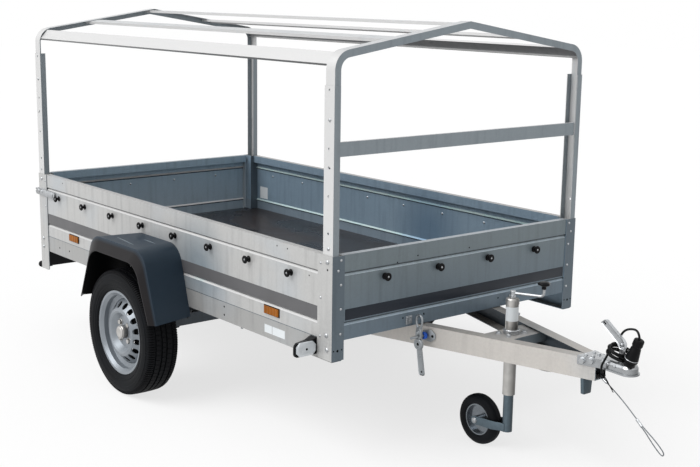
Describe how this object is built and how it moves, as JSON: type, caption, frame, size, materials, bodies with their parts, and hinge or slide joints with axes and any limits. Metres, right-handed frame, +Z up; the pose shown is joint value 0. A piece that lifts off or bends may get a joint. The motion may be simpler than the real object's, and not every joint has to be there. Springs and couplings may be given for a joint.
{
  "type": "utility trailer",
  "caption": "Single-axle utility trailer with a galvanised drop-side bed that tilts on a V drawbar, a jockey wheel and an open tarpaulin frame.",
  "frame": {"origin": "on the ground, under the middle of the overall length", "axes": "+X forward to the coupling, +Y to the left, +Z up"},
  "size_m": [3.4276, 1.724, 1.6207],
  "materials": {
    "galvanised_steel": "satin",
    "zinc_plated_steel": "satin",
    "black_plastic": "matte",
    "phenolic_plywood": "satin",
    "rim_steel": "satin",
    "tyre_rubber": "matte",
    "soft_rubber": "matte",
    "cable_sheath": "satin",
    "red_plastic": "gloss",
    "steel_rope": "satin",
    "amber_plastic": "gloss"
  },
  "bodies": {
    "drawbar": {"drawbar_arm_right": "galvanised_steel", "drawbar_arm_left": "galvanised_steel", "drawbar_pivot": "galvanised_steel", "jockey_cross_plate": "galvanised_steel", "coupling_head": "zinc_plated_steel", "coupling_handle": "zinc_plated_steel", "drawbar_skid": "galvanised_steel", "jockey_outer_tube": "zinc_plated_steel", "jockey_crank": "zinc_plated_steel", "tilt_latches": "zinc_plated_steel", "lead_clip": "soft_rubber", "lighting_lead": "cable_sheath", "lead_coil": "cable_sheath", "lead_plug": "black_plastic", "safety_rope": "steel_rope"},
    "bed": {"chassis_rail_right": "galvanised_steel", "chassis_rail_left": "galvanised_steel", "floor_board": "phenolic_plywood", "side_panel_right": "galvanised_steel", "side_panel_left": "galvanised_steel", "front_panel": "galvanised_steel", "corner_post_front_right": "galvanised_steel", "corner_post_front_left": "galvanised_steel", "corner_post_rear_right": "galvanised_steel", "corner_post_rear_left": "galvanised_steel", "cross_members": "galvanised_steel", "front_sill": "galvanised_steel", "rear_light_board": "black_plastic", "rear_lamps": "red_plastic", "rear_buffers": "soft_rubber", "tailgate_hinge_pins": "zinc_plated_steel", "tailgate_latches": "zinc_plated_steel", "axle_beam": "galvanised_steel", "fender_right": "black_plastic", "fender_left": "black_plastic", "frame_posts": "galvanised_steel", "hoop_front": "galvanised_steel", "hoop_rear": "galvanised_steel", "roof_rails": "galvanised_steel", "front_crossbar": "galvanised_steel", "pivot_plates": "galvanised_steel", "marker_lamps": "black_plastic", "side_reflectors": "amber_plastic", "tarp_knobs": "soft_rubber", "bed_latch_hooks": "zinc_plated_steel"},
    "wheel_right": {"wheel_tyre_right": "tyre_rubber", "wheel_rim_right": "rim_steel", "wheel_hub_right": "zinc_plated_steel"},
    "wheel_left": {"wheel_tyre_left": "tyre_rubber", "wheel_rim_left": "rim_steel", "wheel_hub_left": "zinc_plated_steel"},
    "tailgate": {"tailgate_panel": "galvanised_steel", "tailgate_hinges": "zinc_plated_steel"},
    "jockey_spindle": {"jockey_nut": "zinc_plated_steel"},
    "jockey_leg": {"jockey_inner_tube": "zinc_plated_steel", "jockey_fork": "zinc_plated_steel"},
    "jockey_wheel": {"jockey_rim": "rim_steel", "jockey_tyre": "tyre_rubber"}
  },
  "joints": [
    {"name": "bed_tilt", "type": "hinge", "parent": "drawbar", "child": "bed", "pos_m": [-0.41, 0, 0.44], "axis": [0, -1, 0], "range_deg": [0, 15]},
    {"name": "wheel_right_spin", "type": "hinge", "parent": "bed", "child": "wheel_right", "pos_m": [-0.437, -0.7725, 0.2735], "axis": [0, 1, 0], "continuous": true},
    {"name": "wheel_left_spin", "type": "hinge", "parent": "bed", "child": "wheel_left", "pos_m": [-0.437, 0.7725, 0.2735], "axis": [0, 1, 0], "continuous": true},
    {"name": "tailgate_hinge", "type": "hinge", "parent": "bed", "child": "tailgate", "pos_m": [-1.6, 0, 0.502], "axis": [0, -1, 0], "range_deg": [0, 180]},
    {"name": "jockey_lift", "type": "slide", "parent": "drawbar", "child": "jockey_spindle", "axis": [0, 0, 1], "range_m": [-0.09, 0.11]},
    {"name": "jockey_swivel", "type": "hinge", "parent": "jockey_spindle", "child": "jockey_leg", "pos_m": [1.059, 0, 0.444], "axis": [0, 0, 1], "continuous": true},
    {"name": "jockey_wheel_spin", "type": "hinge", "parent": "jockey_leg", "child": "jockey_wheel", "pos_m": [0.917, 0, 0.1], "axis": [0, 1, 0], "continuous": true}
  ]
}
